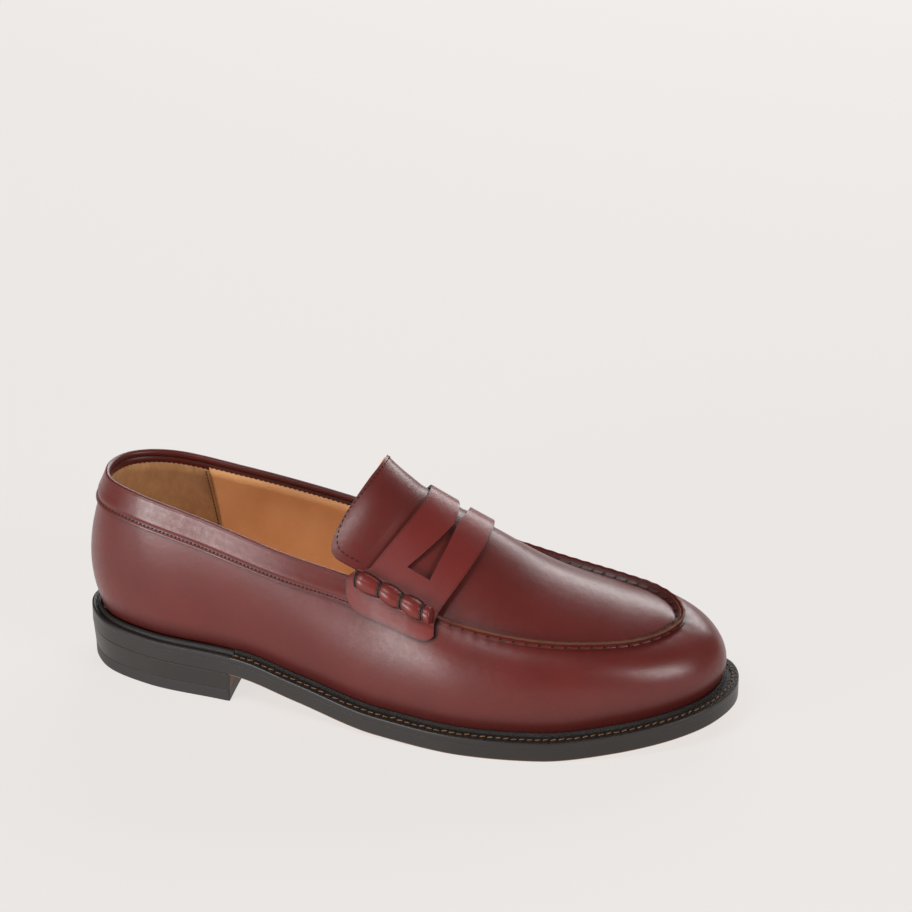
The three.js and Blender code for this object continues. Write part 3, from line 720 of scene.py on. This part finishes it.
sheet("topline_bead", 300, 39, bead_place, [burgundy, dark_edge], "burgundy_leather", ["topline_fold"],
      thick=0.7, tone=bead_tone, soft=0)


def collar_frames():
    count = round(mouth_run.length / 1.9)
    for i in range(count):
        here = wall(mouth_run((i + 0.5) / count))
        point = here.at(here.below(band_depth(here.station) - 2.2)) + here.out * 1.22
        yield aim(point, wall(mouth_run((i + 0.6) / count)).top - here.top, here.out)


stitches("collar_stitching", collar_frames(), 1.45, 0.8, edge_thread)

# ---------------- linings

LINING_FACE = -3.5


def pinked(run, teeth, depth, from_t, rows):
    """A lining whose top edge is cut to a zigzag: two columns to a tooth."""
    def place(a, b):
        here = wall(run(a))
        tooth = round(a * teeth * 2) % 2
        top = here.below(depth + 0.75 * tooth) if here.station < LINING_JOIN else 0.99
        return here.at(from_t + (top - from_t) * b)
    return {"columns": teeth * 2, "rows": rows, "place": place}


# Painted shade: the lining darkens towards its lower edge, deep inside the shoe.
def lining_tone(a, b):
    return 0.35 * (1 - ramp(b, 0, 0.5))


linings = [
    ("heel_grip_suede", -outer(GRIP_EDGE), outer(GRIP_EDGE), suede, "suede", "heel_grip", 5.4),
    ("quarter_lining_lateral_leather", outer(GRIP_EDGE), outer(LINING_JOIN), tan, "tan_leather",
     "quarter_lining_lateral", 3.4),
    ("quarter_lining_medial_leather", inner(LINING_JOIN), inner(GRIP_EDGE), tan, "tan_leather",
     "quarter_lining_medial", 3.4),
]
for name, start, end, material, slot_name, node_name, depth in linings:
    lining_run = Run(top_ring, start, end)
    laid = pinked(lining_run, round(lining_run.length / 2.3), depth, -0.5, 16)
    sheet(name, laid["columns"], laid["rows"], laid["place"], [material, material], slot_name, [node_name],
          thick=0.7, side=1, soft=0, lift=LINING_FACE + (0.4 if material is suede else 0), tone=lining_tone)


def stiffener(name, node_name, start, end, reach):
    """Leather board between the upper and its lining, moulded to the wall as high as reach."""
    run = Run(top_ring, start, end)
    sheet(name, 60, 12, lambda a, b: wall(run(a)).at(-0.4 + (reach + 0.4) * b), [board, board],
          "leather_board", [node_name], thick=0.8, soft=0, lift=-1.7)


stiffener("heel_counter_board", "heel_counter", -outer(3.25), outer(3.25), 0.56)
stiffener("toe_puff_board", "toe_puff", outer(7.75), inner(7.75), 0.68)


def vamp_lining_place(a, b):
    start, end = outer(LINING_JOIN), inner(LINING_JOIN)
    return wall(start + (end - start) * a).at(-0.5 + 1.47 * b)


sheet("vamp_lining_leather", 90, 14, vamp_lining_place, [tan, tan], "tan_leather", ["vamp_lining"],
      thick=0.7, side=1, soft=0, lift=LINING_FACE)


def grip_frames(side):
    """The heel grip's front edge is sewn down through the quarter lining."""
    for i in range(26):
        u = side(GRIP_EDGE - 0.04)
        here = wall(u)
        t = 0.12 + 0.76 * i / 25
        point = here.at(t) + here.out * (LINING_FACE - 0.1)
        yield aim(point, here.at(t + 0.01) - here.at(t), here.out)


stitches("grip_stitching_lateral", grip_frames(outer), 1.7, 0.45, dark_thread)
stitches("grip_stitching_medial", grip_frames(inner), 1.7, 0.45, dark_thread)


def sock_place(a, b):
    station = 0.02 + 10.96 * a
    left = edge_point(outer(station), 11.6, lambda x: 0)
    right = edge_point(inner(station), 11.6, lambda x: 0)
    point = left.lerp(right, b)
    point.z = upper_foot(point.x) + 3.4 + 2.2 * abs(2 * b - 1) ** 4
    return point


sheet("sock_leather", 120, 20, sock_place, [tan, tan], "tan_leather", ["sock_lining"], thick=1, soft=0.3)


# ---------------- apron and tongue

APRON_INSET = 2.35
TONGUE_SHARE = 0.24


def instep_place(a, b):
    """From the tongue's end to the toe, and across from the outer side to the inner one."""
    side = sin((b - 0.5) * pi)
    if a < TONGUE_SHARE:
        return tongue_point(1 - (a / TONGUE_SHARE) ** 1.6, side * 0.985)
    station = 5.02 + 5.96 * (a - TONGUE_SHARE) / (1 - TONGUE_SHARE)
    u = outer(station)
    return arch_point(u, side, APRON_INSET * ramp(station, 5.3, 5.8))


# Darker at the edges: painted shade where the apron's sides meet the seam's lips; along the tongue's sides
# and end it is a plain darkening.
def instep_tone(a, b):
    rim = ramp(abs(2 * b - 1), 0.86, 1) * 0.5
    if a < TONGUE_SHARE:
        rim = max(rim, 0.5 * (1 - ramp(a, 0, 0.02)))
    return rim


sheet("apron_leather", 190, 44, instep_place, [burgundy, raw_edge], "burgundy_leather", ["apron_and_tongue"],
      tone=instep_tone, soft=0.35)


def tongue_lining_place(a, b):
    side = sin((b - 0.5) * pi)
    if a < 0.5:
        return tongue_point(0.95 - 0.95 * (2 * a) ** 1.6, side * 0.95)
    station = 5.02 + 4.9 * (2 * a - 1)
    return arch_point(outer(station), side, APRON_INSET + 2)


sheet("tongue_lining_leather", 110, 36, tongue_lining_place, [tan, tan], "tan_leather", ["tongue_lining"],
      thick=0.8, lift=-1.5, soft=0, even=False)


def apron_lip_place(a, b):
    """The apron's own upturned edge, beside the vamp's."""
    u = seam_run(a)
    out = outward(u)
    base = top_ring(u) - out * APRON_INSET
    height = (lip_height(u) + 0.15) * ramp(min(a, 1 - a), -0.004, 0.012)
    lip = wall(u).lip
    inwards = base - out * (1.6 - 0.3 * stitch_pull(u)) - UP * 0.05
    return bend(inwards, base, base + lip * height, b)


# Darker all over the lip, and darkest in the fold at its foot: painted shade in the seam's corner.
def apron_lip_tone(a, b):
    return 0.35 + 0.3 * (1 - abs(2 * b - 1))


sheet("apron_lip_leather", 420, 8, apron_lip_place, [burgundy, raw_edge], "burgundy_leather",
      thick=0.9, side=1, tone=apron_lip_tone, soft=0.35)


def seam_frames(inset, rise, turn, shift):
    """Stitches of the apron seam, at a distance in from the seam's line and up the lip."""
    for i in range(SEAM_STITCHES):
        part = (i + 0.5 + shift) / SEAM_STITCHES
        if not 0.01 < part < 0.99:
            continue
        u = seam_run(part)
        here = wall(u)
        point = here.top - here.out * inset + here.lip * rise
        along = top_ring(seam_run(part + 0.002)) - top_ring(u)
        facing = here.out if inset < 1 else UP - here.out
        yield aim(point, along, facing) @ Matrix.Rotation(turn, 4, "Z")


stitches("seam_stitches_outer", seam_frames(-0.3, 0.5, 0.16, 0.5), 3.1, 0.85, seam_thread)
stitches("seam_stitches_apron", seam_frames(APRON_INSET + 0.55, 0.9, radians(58), 0.5), 3.0, 0.85,
         seam_thread)
# Dark blobs at the seam's needle holes: painted shade inside the holes.
stitches("seam_hole_shade", seam_frames(-0.25, 0.45, 0, 0.2), 1.3, 1.1, hole_shade)
stitches("seam_hole_shade_apron", seam_frames(APRON_INSET + 0.5, 0.3, 0, 0.62), 1.3, 1.1, hole_shade)


def tongue_rim(f):
    """Just inside the tongue's edge: up one side, across the end and down the other side."""
    if f < 0.4:
        return 0.04 + 2.15 * f, -0.92
    if f > 0.6:
        return 0.04 + 2.15 * (1 - f), 0.92
    return 0.9 + 0.03 * sin((f - 0.4) * 5 * pi), -0.92 + 1.84 * (f - 0.4) / 0.2


def tongue_frames():
    rim_run = Run(lambda f: tongue_point(*tongue_rim(f)), 0, 1)
    count = round(rim_run.length / 2.5)
    for i in range(count):
        f = rim_run((i + 0.5) / count)
        along, side = tongue_rim(f)
        point = tongue_point(along, side)
        over = tongue_point(along, side * 0.98) - tongue_point(along, side * 0.9)
        down = tongue_point(along - 0.03, side) - point
        normal = down.cross(over) if side > 0 else over.cross(down)
        yield aim(point + normal.normalized() * 0.12, tongue_point(*tongue_rim(f + 0.004)) - point, normal)


stitches("tongue_stitching", tongue_frames(), 1.7, 0.55, edge_thread)


# ---------------- strap and beef rolls

SLOT = {"middle": 0.52, "neck": 0.018, "end": 0.16, "reach": 0.7, "centre": 0.485}


def strap_point(part, b):
    """part runs from the back edge to the front edge, b from one tab's lower edge to the other's."""
    near = min(b, 1 - b)
    which = outer if b < 0.5 else inner
    flare = ramp(1 - near, 0.82, 0.89)
    back = STRAP["back"] - STRAP["flare"] * flare
    station = back + (STRAP["front"] - back) * part + STRAP["forward"] * ramp(near, 0.12, 0.5)
    place = which(station)
    here = wall(place)
    drop = tab_depth(part)
    share = STRAP["tab"]
    side_at = -1 if b < 0.5 else 1
    fold, turn = STRAP["fold"], share * STRAP["fold_share"]
    if near < turn:
        return here.at(here.below(fold + (drop - fold) * (1 - near / turn)))
    if near < share:
        corner = here.top + (here.out + UP) * 0.9
        end = arch_point(outer(station), side_at * STRAP["across"])
        return bend(here.at(here.below(fold)), corner, end, (near - turn) / (share - turn))
    spread = pi / 2 * STRAP["spread"]
    side = sin(((near - share) / (0.5 - share) - 1) * spread) / sin(spread) * STRAP["across"]
    return arch_point(outer(station), side if b < 0.5 else -side)


def slot_reach(b):
    """0 at the slot's neck and 1 at its ends."""
    side = b - SLOT["centre"]
    end = (0.5 - STRAP["tab"]) * SLOT["reach"]
    return side / (end + 0.5 - SLOT["centre"]) if side > 0 else -side / (end + SLOT["centre"] - 0.5)


def slot_half(b):
    reach = slot_reach(b)
    return SLOT["neck"] + (SLOT["end"] - SLOT["neck"]) * min(1, reach) ** 1.1


SIDE_COLUMNS = 10


def strap_part(a, b):
    """The grid's middle column spans the slot, whose ends are cut square."""
    column = round(a * (2 * SIDE_COLUMNS + 1))
    half = slot_half(b)
    if column <= SIDE_COLUMNS:
        return (SLOT["middle"] - half) * column / SIDE_COLUMNS
    return 1 - (1 - SLOT["middle"] - half) * (2 * SIDE_COLUMNS + 1 - column) / SIDE_COLUMNS


def strap_place(a, b):
    return strap_point(strap_part(a, b), b)


def in_slot(a, b):
    return abs(a - 0.5) < 0.5 / (2 * SIDE_COLUMNS + 1) and slot_reach(b) < 1


def strap_lift(a, b):
    return 2.3 - 0.2 * ramp(1 - min(b, 1 - b), 0.86, 0.96)


# Darker along all the strap's edges: painted shade standing in for the thin shadow where the tabs meet the
# vamp.
def strap_tone(a, b):
    part = strap_part(a, b)
    return 0.45 * (1 - ramp(min(part, 1 - part), 0, 0.035)) + 0.45 * (1 - ramp(min(b, 1 - b), 0, 0.02))


sheet("saddle_strap_leather", 2 * SIDE_COLUMNS + 1, 120, strap_place, [strap_calf, dark_edge],
      "strap_leather", ["saddle_strap"], thick=1.5, lift=strap_lift, hole=in_slot, tone=strap_tone, soft=0.35)

ROLL = {"from": 4.97, "to": 5.8, "lift": 5.0, "radius": 4.2, "windings": (0.035, 0.345, 0.625, 0.895)}


def roll_frame(side, f):
    """Where the roll's axis is, which way it stands up from the strap and which way is across it."""
    place = side(ROLL["from"] + (ROLL["to"] - ROLL["from"]) * f)
    out = outward(place)
    lean = LIP_LEAN + 0.3
    rise = out * sin(lean) + UP * cos(lean)
    wide = out * cos(lean) - UP * sin(lean)
    return top_ring(place) + rise * ROLL["lift"], rise, wide


def roll_radius(f):
    pinch = max(0.1 * peak(f, w, 0.02) + 0.16 * peak(f, w, 0.07) for w in ROLL["windings"])
    end = 0.55 * (1 - ramp(min(f + 0.012, 1.03 - f), 0, 0.05))
    swell = 0.04 * sin(f * 17)
    return ROLL["radius"] * (1 - pinch - end * 0.5 + swell)


def beef_roll(side, name, node_name):
    """A roll of leather along the strap's fold, drawn in by pairs of cord and sewn down along both sides."""
    def place(a, b):
        centre, rise, wide = roll_frame(side, a)
        angle = b * tau * (1 if side is inner else -1)
        size = roll_radius(a) * (1 + 0.02 * noise.noise(Vector((a * 9, 2 * cos(angle), 2 * sin(angle)))))
        return centre + (wide * cos(angle) + rise * sin(angle)) * size

    # Painted shade in the grooves where the cords pinch the roll.
    def tone(a, b):
        return 0.55 * max(peak(a, w, 0.03) for w in ROLL["windings"])

    bm = grid(130, 36, place, tone=tone)
    bmesh.ops.holes_fill(bm, edges=bm.edges, sides=40)
    bmesh.ops.recalc_face_normals(bm, faces=bm.faces)
    piece = finished(name, bm, [strap_calf], "strap_leather", [node_name])
    soften(piece, 0.4)

    step = (roll_frame(side, 1)[0] - roll_frame(side, 0)[0]).length
    for index, winding in enumerate(ROLL["windings"]):
        for turn in (-0.5, 0.5):
            f = winding + turn * 0.92 / step
            centre, rise, wide = roll_frame(side, f)
            along = roll_frame(side, f + 0.01)[0] - centre
            ring = []
            for k in range(28):
                angle = k * tau / 28
                spoke = wide * cos(angle) + rise * sin(angle)
                slant = along.normalized() * 0.2 * cos(angle)
                ring.append((centre + spoke * (roll_radius(winding) + 0.25) + slant, spoke))
            loop_of_thread(f"{name}_winding_{index + 1}_{'a' if turn < 0 else 'b'}", ring, 0.33, dark_thread)

    def chain(edge_angle):
        count = 24
        for i in range(count):
            f = 0.05 + 0.84 * i / (count - 1)
            centre, rise, wide = roll_frame(side, f)
            spoke = wide * cos(edge_angle) + rise * sin(edge_angle)
            along = roll_frame(side, f + 0.01)[0] - centre
            yield aim(centre + spoke * (roll_radius(f) + 0.3), along, spoke) @ Matrix.Rotation(0.3, 4, "Z")

    stitches(f"{name}_chain_low", chain(-0.42), 2.0, 0.6, dark_thread)
    stitches(f"{name}_chain_high", chain(pi + 0.1), 2.0, 0.6, dark_thread)


beef_roll(outer, "beef_roll_lateral_leather", "beef_roll_lateral")
beef_roll(inner, "beef_roll_medial_leather", "beef_roll_medial")


# ---------------- welt, outsole and heel

def sole_bottom(x):
    return welt_z(x) - SOLE_EDGE


def breast(side):
    """The place on one side of the ring where the heel's front face stands."""
    near, far = 0, 6
    for _ in range(30):
        middle = (near + far) / 2
        near, far = (middle, far) if sole_ring(side(middle)).x < HEEL_BREAST else (near, middle)
    return side(near)


welt_run = Run(sole_ring, breast(outer), breast(inner))
rand_run = Run(sole_ring, breast(inner) - 1, breast(outer))
sole_run = Run(sole_ring, 0, 1)
WELT_STITCHES = round(welt_run.length / 3.5)
SAMPLES = 4


def strip_place(run, section):
    """A strip along the sole's edge whose section is a list of (share of the foot's inset, rise)."""
    def place(a, b):
        u = run(a)
        inset = foot_inset(station_at(u))
        share, rise = section(a, b)
        return edge_point(u, inset * share, lambda x: welt_z(x) + rise)
    return place


WELT_SECTION = [(0.3, -3.2), (0.15, -3.2), (0.0, -3.2), (0, -1.9), (0.0, -0.6), (0.03, -0.22), (0.1, -0.02),
                (0.2, 0.05), (0.32, 0.06), (0.42, 0.05), (0.52, 0.06), (0.62, 0.12), (0.72, 0.1), (0.78, 0.0),
                (0.83, 0.75), (0.9, 1.35), (0.98, 1.5), (1.06, 1.1), (1.12, 0.2)]
RAND_SECTION = [(0.3, -3.2), (0.15, -3.2), (0.0, -3.2), (0, -1.9), (0.01, -0.8), (0.08, -0.3), (0.2, -0.1),
                (0.32, -0.1), (0.44, -0.3), (0.54, -0.75), (0.6, -0.4), (0.68, 0.4), (0.78, 0.85), (0.9, 1.0),
                (1.04, 0.9), (1.15, 0.3)]


def strip_paint(a, b):
    """The outer face is ground flush with the sole's edge."""
    return 1 if b < 0.24 else 0


def welt_section(a, b):
    share, rise = on_section(WELT_SECTION, b)
    wheel = 0.5 - 0.5 * cos(tau * WELT_STITCHES * a)
    on_top = ramp(share, 0.04, 0.2) * (1 - ramp(share, 0.56, 0.7)) if rise > -0.4 else 0
    return share, rise + on_top * (0.34 * wheel - 0.26)


def rand_section(a, b):
    return on_section(RAND_SECTION, b)


welt_strip = grid(WELT_STITCHES * SAMPLES, 36, strip_place(welt_run, welt_section), paint=strip_paint)
finished("welt_leather", welt_strip, [welt_black, black_edge], "welt_leather", ["welt"])
rand_strip = grid(150, 30, strip_place(rand_run, rand_section), paint=strip_paint)
finished("heel_rand_leather", rand_strip, [rand_black, black_edge], "welt_leather", ["heel_rand"])


def welt_frames():
    for i in range(WELT_STITCHES):
        part = (i + 0.5) / WELT_STITCHES
        u = welt_run(part)
        inset = foot_inset(station_at(u))
        jitter = noise.noise(Vector((i * 1.7, 3, 0)))
        point = edge_point(u, inset * (0.4 + jitter * 0.09), lambda x: welt_z(x) + 0.08 + 0.3 * jitter)
        along = sole_ring(u + 0.001) - sole_ring(u - 0.001)
        along.z = (welt_z(point.x + along.x) - welt_z(point.x))
        yield aim(point, along, UP) @ Matrix.Rotation(0.22 + 0.6 * jitter, 4, "Z")


stitches("welt_stitching", welt_frames(), 2.7, 0.72, welt_thread, height=0.75)


# The outsole's section: how far in from its edge, and how far up from its underside.
SOLE_SECTION = [(9, 0), (3.2, 0), (1.0, 0.02), (0.35, 0.1), (0.08, 0.35), (0, 0.8), (0, 2.0), (0, 4.0),
                (0, 5.4), (0, 6.0), (0.02, 6.21), (3, 6.21), (9, 6.21)]


def sole_edge_place(a, b):
    u = sole_run(a)
    inset, rise = on_section(SOLE_SECTION, b)
    return edge_point(u, inset, lambda x: sole_bottom(x) + rise)


def sole_edge_paint(a, b):
    inset, rise = on_section(SOLE_SECTION, b)
    if rise < 0.5 and inset > 1.4:
        return 2
    return 1 if rise < 0.62 and sole_ring(sole_run(a)).x > HEEL_BREAST else 0


finished("outsole_edge", grid(320, 48, sole_edge_place, paint=sole_edge_paint),
         [black_edge, natural_line, sole_leather], "edge_leather", ["outsole"])


def sole_face(level):
    def place(a, b):
        station = 0.3 + 10.5 * a
        left = edge_point(outer(station), 8.4, lambda x: 0)
        right = edge_point(inner(station), 8.4, lambda x: 0)
        point = left.lerp(right, b)
        point.z = level(point.x)
        return point
    return place


sheet("outsole_bottom", 120, 16, sole_face(lambda x: sole_bottom(x) - 0.02), [sole_leather, sole_leather],
      "edge_leather", thick=1.5, side=1, soft=0)


def heel_outline(inset):
    """The heel seen from below: round the back from one end of its front face to the other."""
    points = [edge_point(rand_run(i / 110), inset, lambda x: 0) for i in range(111)]
    points = [p for p in points if p.x < HEEL_BREAST - inset - 0.4]
    first, last = points[0].copy(), points[-1].copy()
    first.x = last.x = HEEL_BREAST - inset
    front = [last.lerp(first, i / 12) - Vector((1.6 * sin(pi * i / 12), 0, 0)) for i in range(13)]
    return points + front


def heel_block(name, low_inset, high_inset, low, high, materials, slot_name, nodes, soft):
    """A block of the heel. Its front face has the second of the two materials."""
    low_outline, high_outline = heel_outline(low_inset), heel_outline(high_inset)
    bm = bmesh.new()
    start = bmesh.ops.create_circle(bm, cap_ends=True, segments=len(low_outline), radius=1)["verts"]
    for v, p in zip(start, low_outline):
        v.co = Vector((p.x, p.y, low(p.x)))
    raised = bmesh.ops.extrude_face_region(bm, geom=bm.faces[:], use_keep_orig=True)["geom"]
    raised = [item for item in raised if isinstance(item, bmesh.types.BMVert)]
    for v in raised:
        k = min(range(len(low_outline)), key=lambda i: (low_outline[i].xy - v.co.xy).length)
        p = high_outline[min(k, len(high_outline) - 1)]
        v.co = Vector((p.x, p.y, high(p.x)))
    for face in bm.faces:
        face.normal_update()
        is_front = abs(face.normal.x) > 0.8 and abs(face.normal.z) < 0.6 and face.calc_center_median().x > 60
        face.material_index = 1 if is_front else 0
    bmesh.ops.recalc_face_normals(bm, faces=bm.faces)
    piece = finished(name, bm, materials, slot_name, nodes)
    soften(piece, soft)
    return piece


heel_block("heel_stack", HEEL_TAPER, 0.15, lambda x: TOP_PIECE + 0.02, lambda x: sole_bottom(x) + 0.02,
           [black_edge, breast_brown], "edge_leather", ["heel_lift_1", "heel_lift_2", "heel_lift_3"], 0.2)
heel_block("heel_top_rubber", HEEL_TAPER + 0.15, HEEL_TAPER + 0.02, lambda x: 0, lambda x: TOP_PIECE,
           [rubber, rubber], "heel_rubber", ["heel_top_piece"], 0.35)


def pin_frames():
    for i in range(9):
        u = rand_run(0.08 + 0.84 * i / 8)
        yield aim(edge_point(u, 7.5, lambda x: 0.1), Vector((1, 0, 0)), UP)


stitches("heel_pins", pin_frames(), 1.8, 1.8, steel, height=0.5)

for node_name, material in (("insole_rib", canvas), ("cork_filler", cork), ("shank", steel), ("insole", tan)):
    kept = bpy.data.objects[node_name]
    kept.data.materials.clear()
    kept.data.materials.append(material)


# ---------------- floor, light and camera

def backdrop(name, shade, glow):
    """A pale surface that glows a little, so that it stays even as far as the camera sees."""
    paint = Paint(name, Roughness=1.0, Specular_IOR_Level=0.0, Emission_Strength=glow)
    paint.shader.inputs["Base Color"].default_value = tuple(c * (1 - glow) for c in shade[:3]) + (1,)
    paint.shader.inputs["Emission Color"].default_value = shade
    return paint.material


bm = bmesh.new()
bmesh.ops.create_grid(bm, x_segments=2, y_segments=2, size=6)
floor_mesh = bpy.data.meshes.new("floor")
bm.to_mesh(floor_mesh)
bm.free()
floor = bpy.data.objects.new("floor", floor_mesh)
floor_mesh.materials.append(backdrop("pale floor", colour(236, 232, 229), 0.86))
bpy.context.scene.collection.objects.link(floor)


def lamp(name, place, target, size, power):
    """A soft rectangular light at place, facing target; metres and watts."""
    light = bpy.data.lights.new(name, "AREA")
    light.shape = "RECTANGLE"
    light.size, light.size_y = size
    light.energy = power
    holder = bpy.data.objects.new(name, light)
    holder.location = place
    holder.rotation_euler = (Vector(target) - Vector(place)).to_track_quat("-Z", "Y").to_euler()
    bpy.context.scene.collection.objects.link(holder)


lamp("back", (0.05, 1.7, 0.95), (0.0, 0, 0.06), (2.0, 0.7), 30)
lamp("front left", (-1.1, -1.55, 0.29), (0, 0, 0.05), (0.7, 0.56), 27)
lamp("front right", (1.55, -0.65, 0.7), (0.05, 0, 0.05), (0.6, 0.45), 14)
lamp("front top", (-0.4, -0.75, 1.5), (0, 0, 0.05), (0.6, 0.5), 10)

world = bpy.data.worlds.new("studio")
bpy.context.scene.world = world
world.use_nodes = True
world.node_tree.nodes["Background"].inputs["Color"].default_value = (1, 0.985, 0.965, 1)
world.node_tree.nodes["Background"].inputs["Strength"].default_value = 0.13

CAMERA = {"azimuth": radians(15), "elevation": radians(26), "distance": 1.5, "lens": 136.18}
target = Vector((171.5, 0, 116.5)) + PLACE
back = Vector((sin(CAMERA["azimuth"]) * cos(CAMERA["elevation"]),
               -cos(CAMERA["azimuth"]) * cos(CAMERA["elevation"]), sin(CAMERA["elevation"])))
lens = bpy.data.cameras.new("camera")
lens.lens = CAMERA["lens"]
lens.sensor_width = 36
lens.clip_end = 20
camera = bpy.data.objects.new("camera", lens)
camera.location = target * MM + back * CAMERA["distance"]
camera.rotation_euler = (-back).to_track_quat("-Z", "Y").to_euler()
bpy.context.scene.collection.objects.link(camera)
bpy.context.scene.camera = camera
bpy.context.scene.view_settings.view_transform = "Standard"
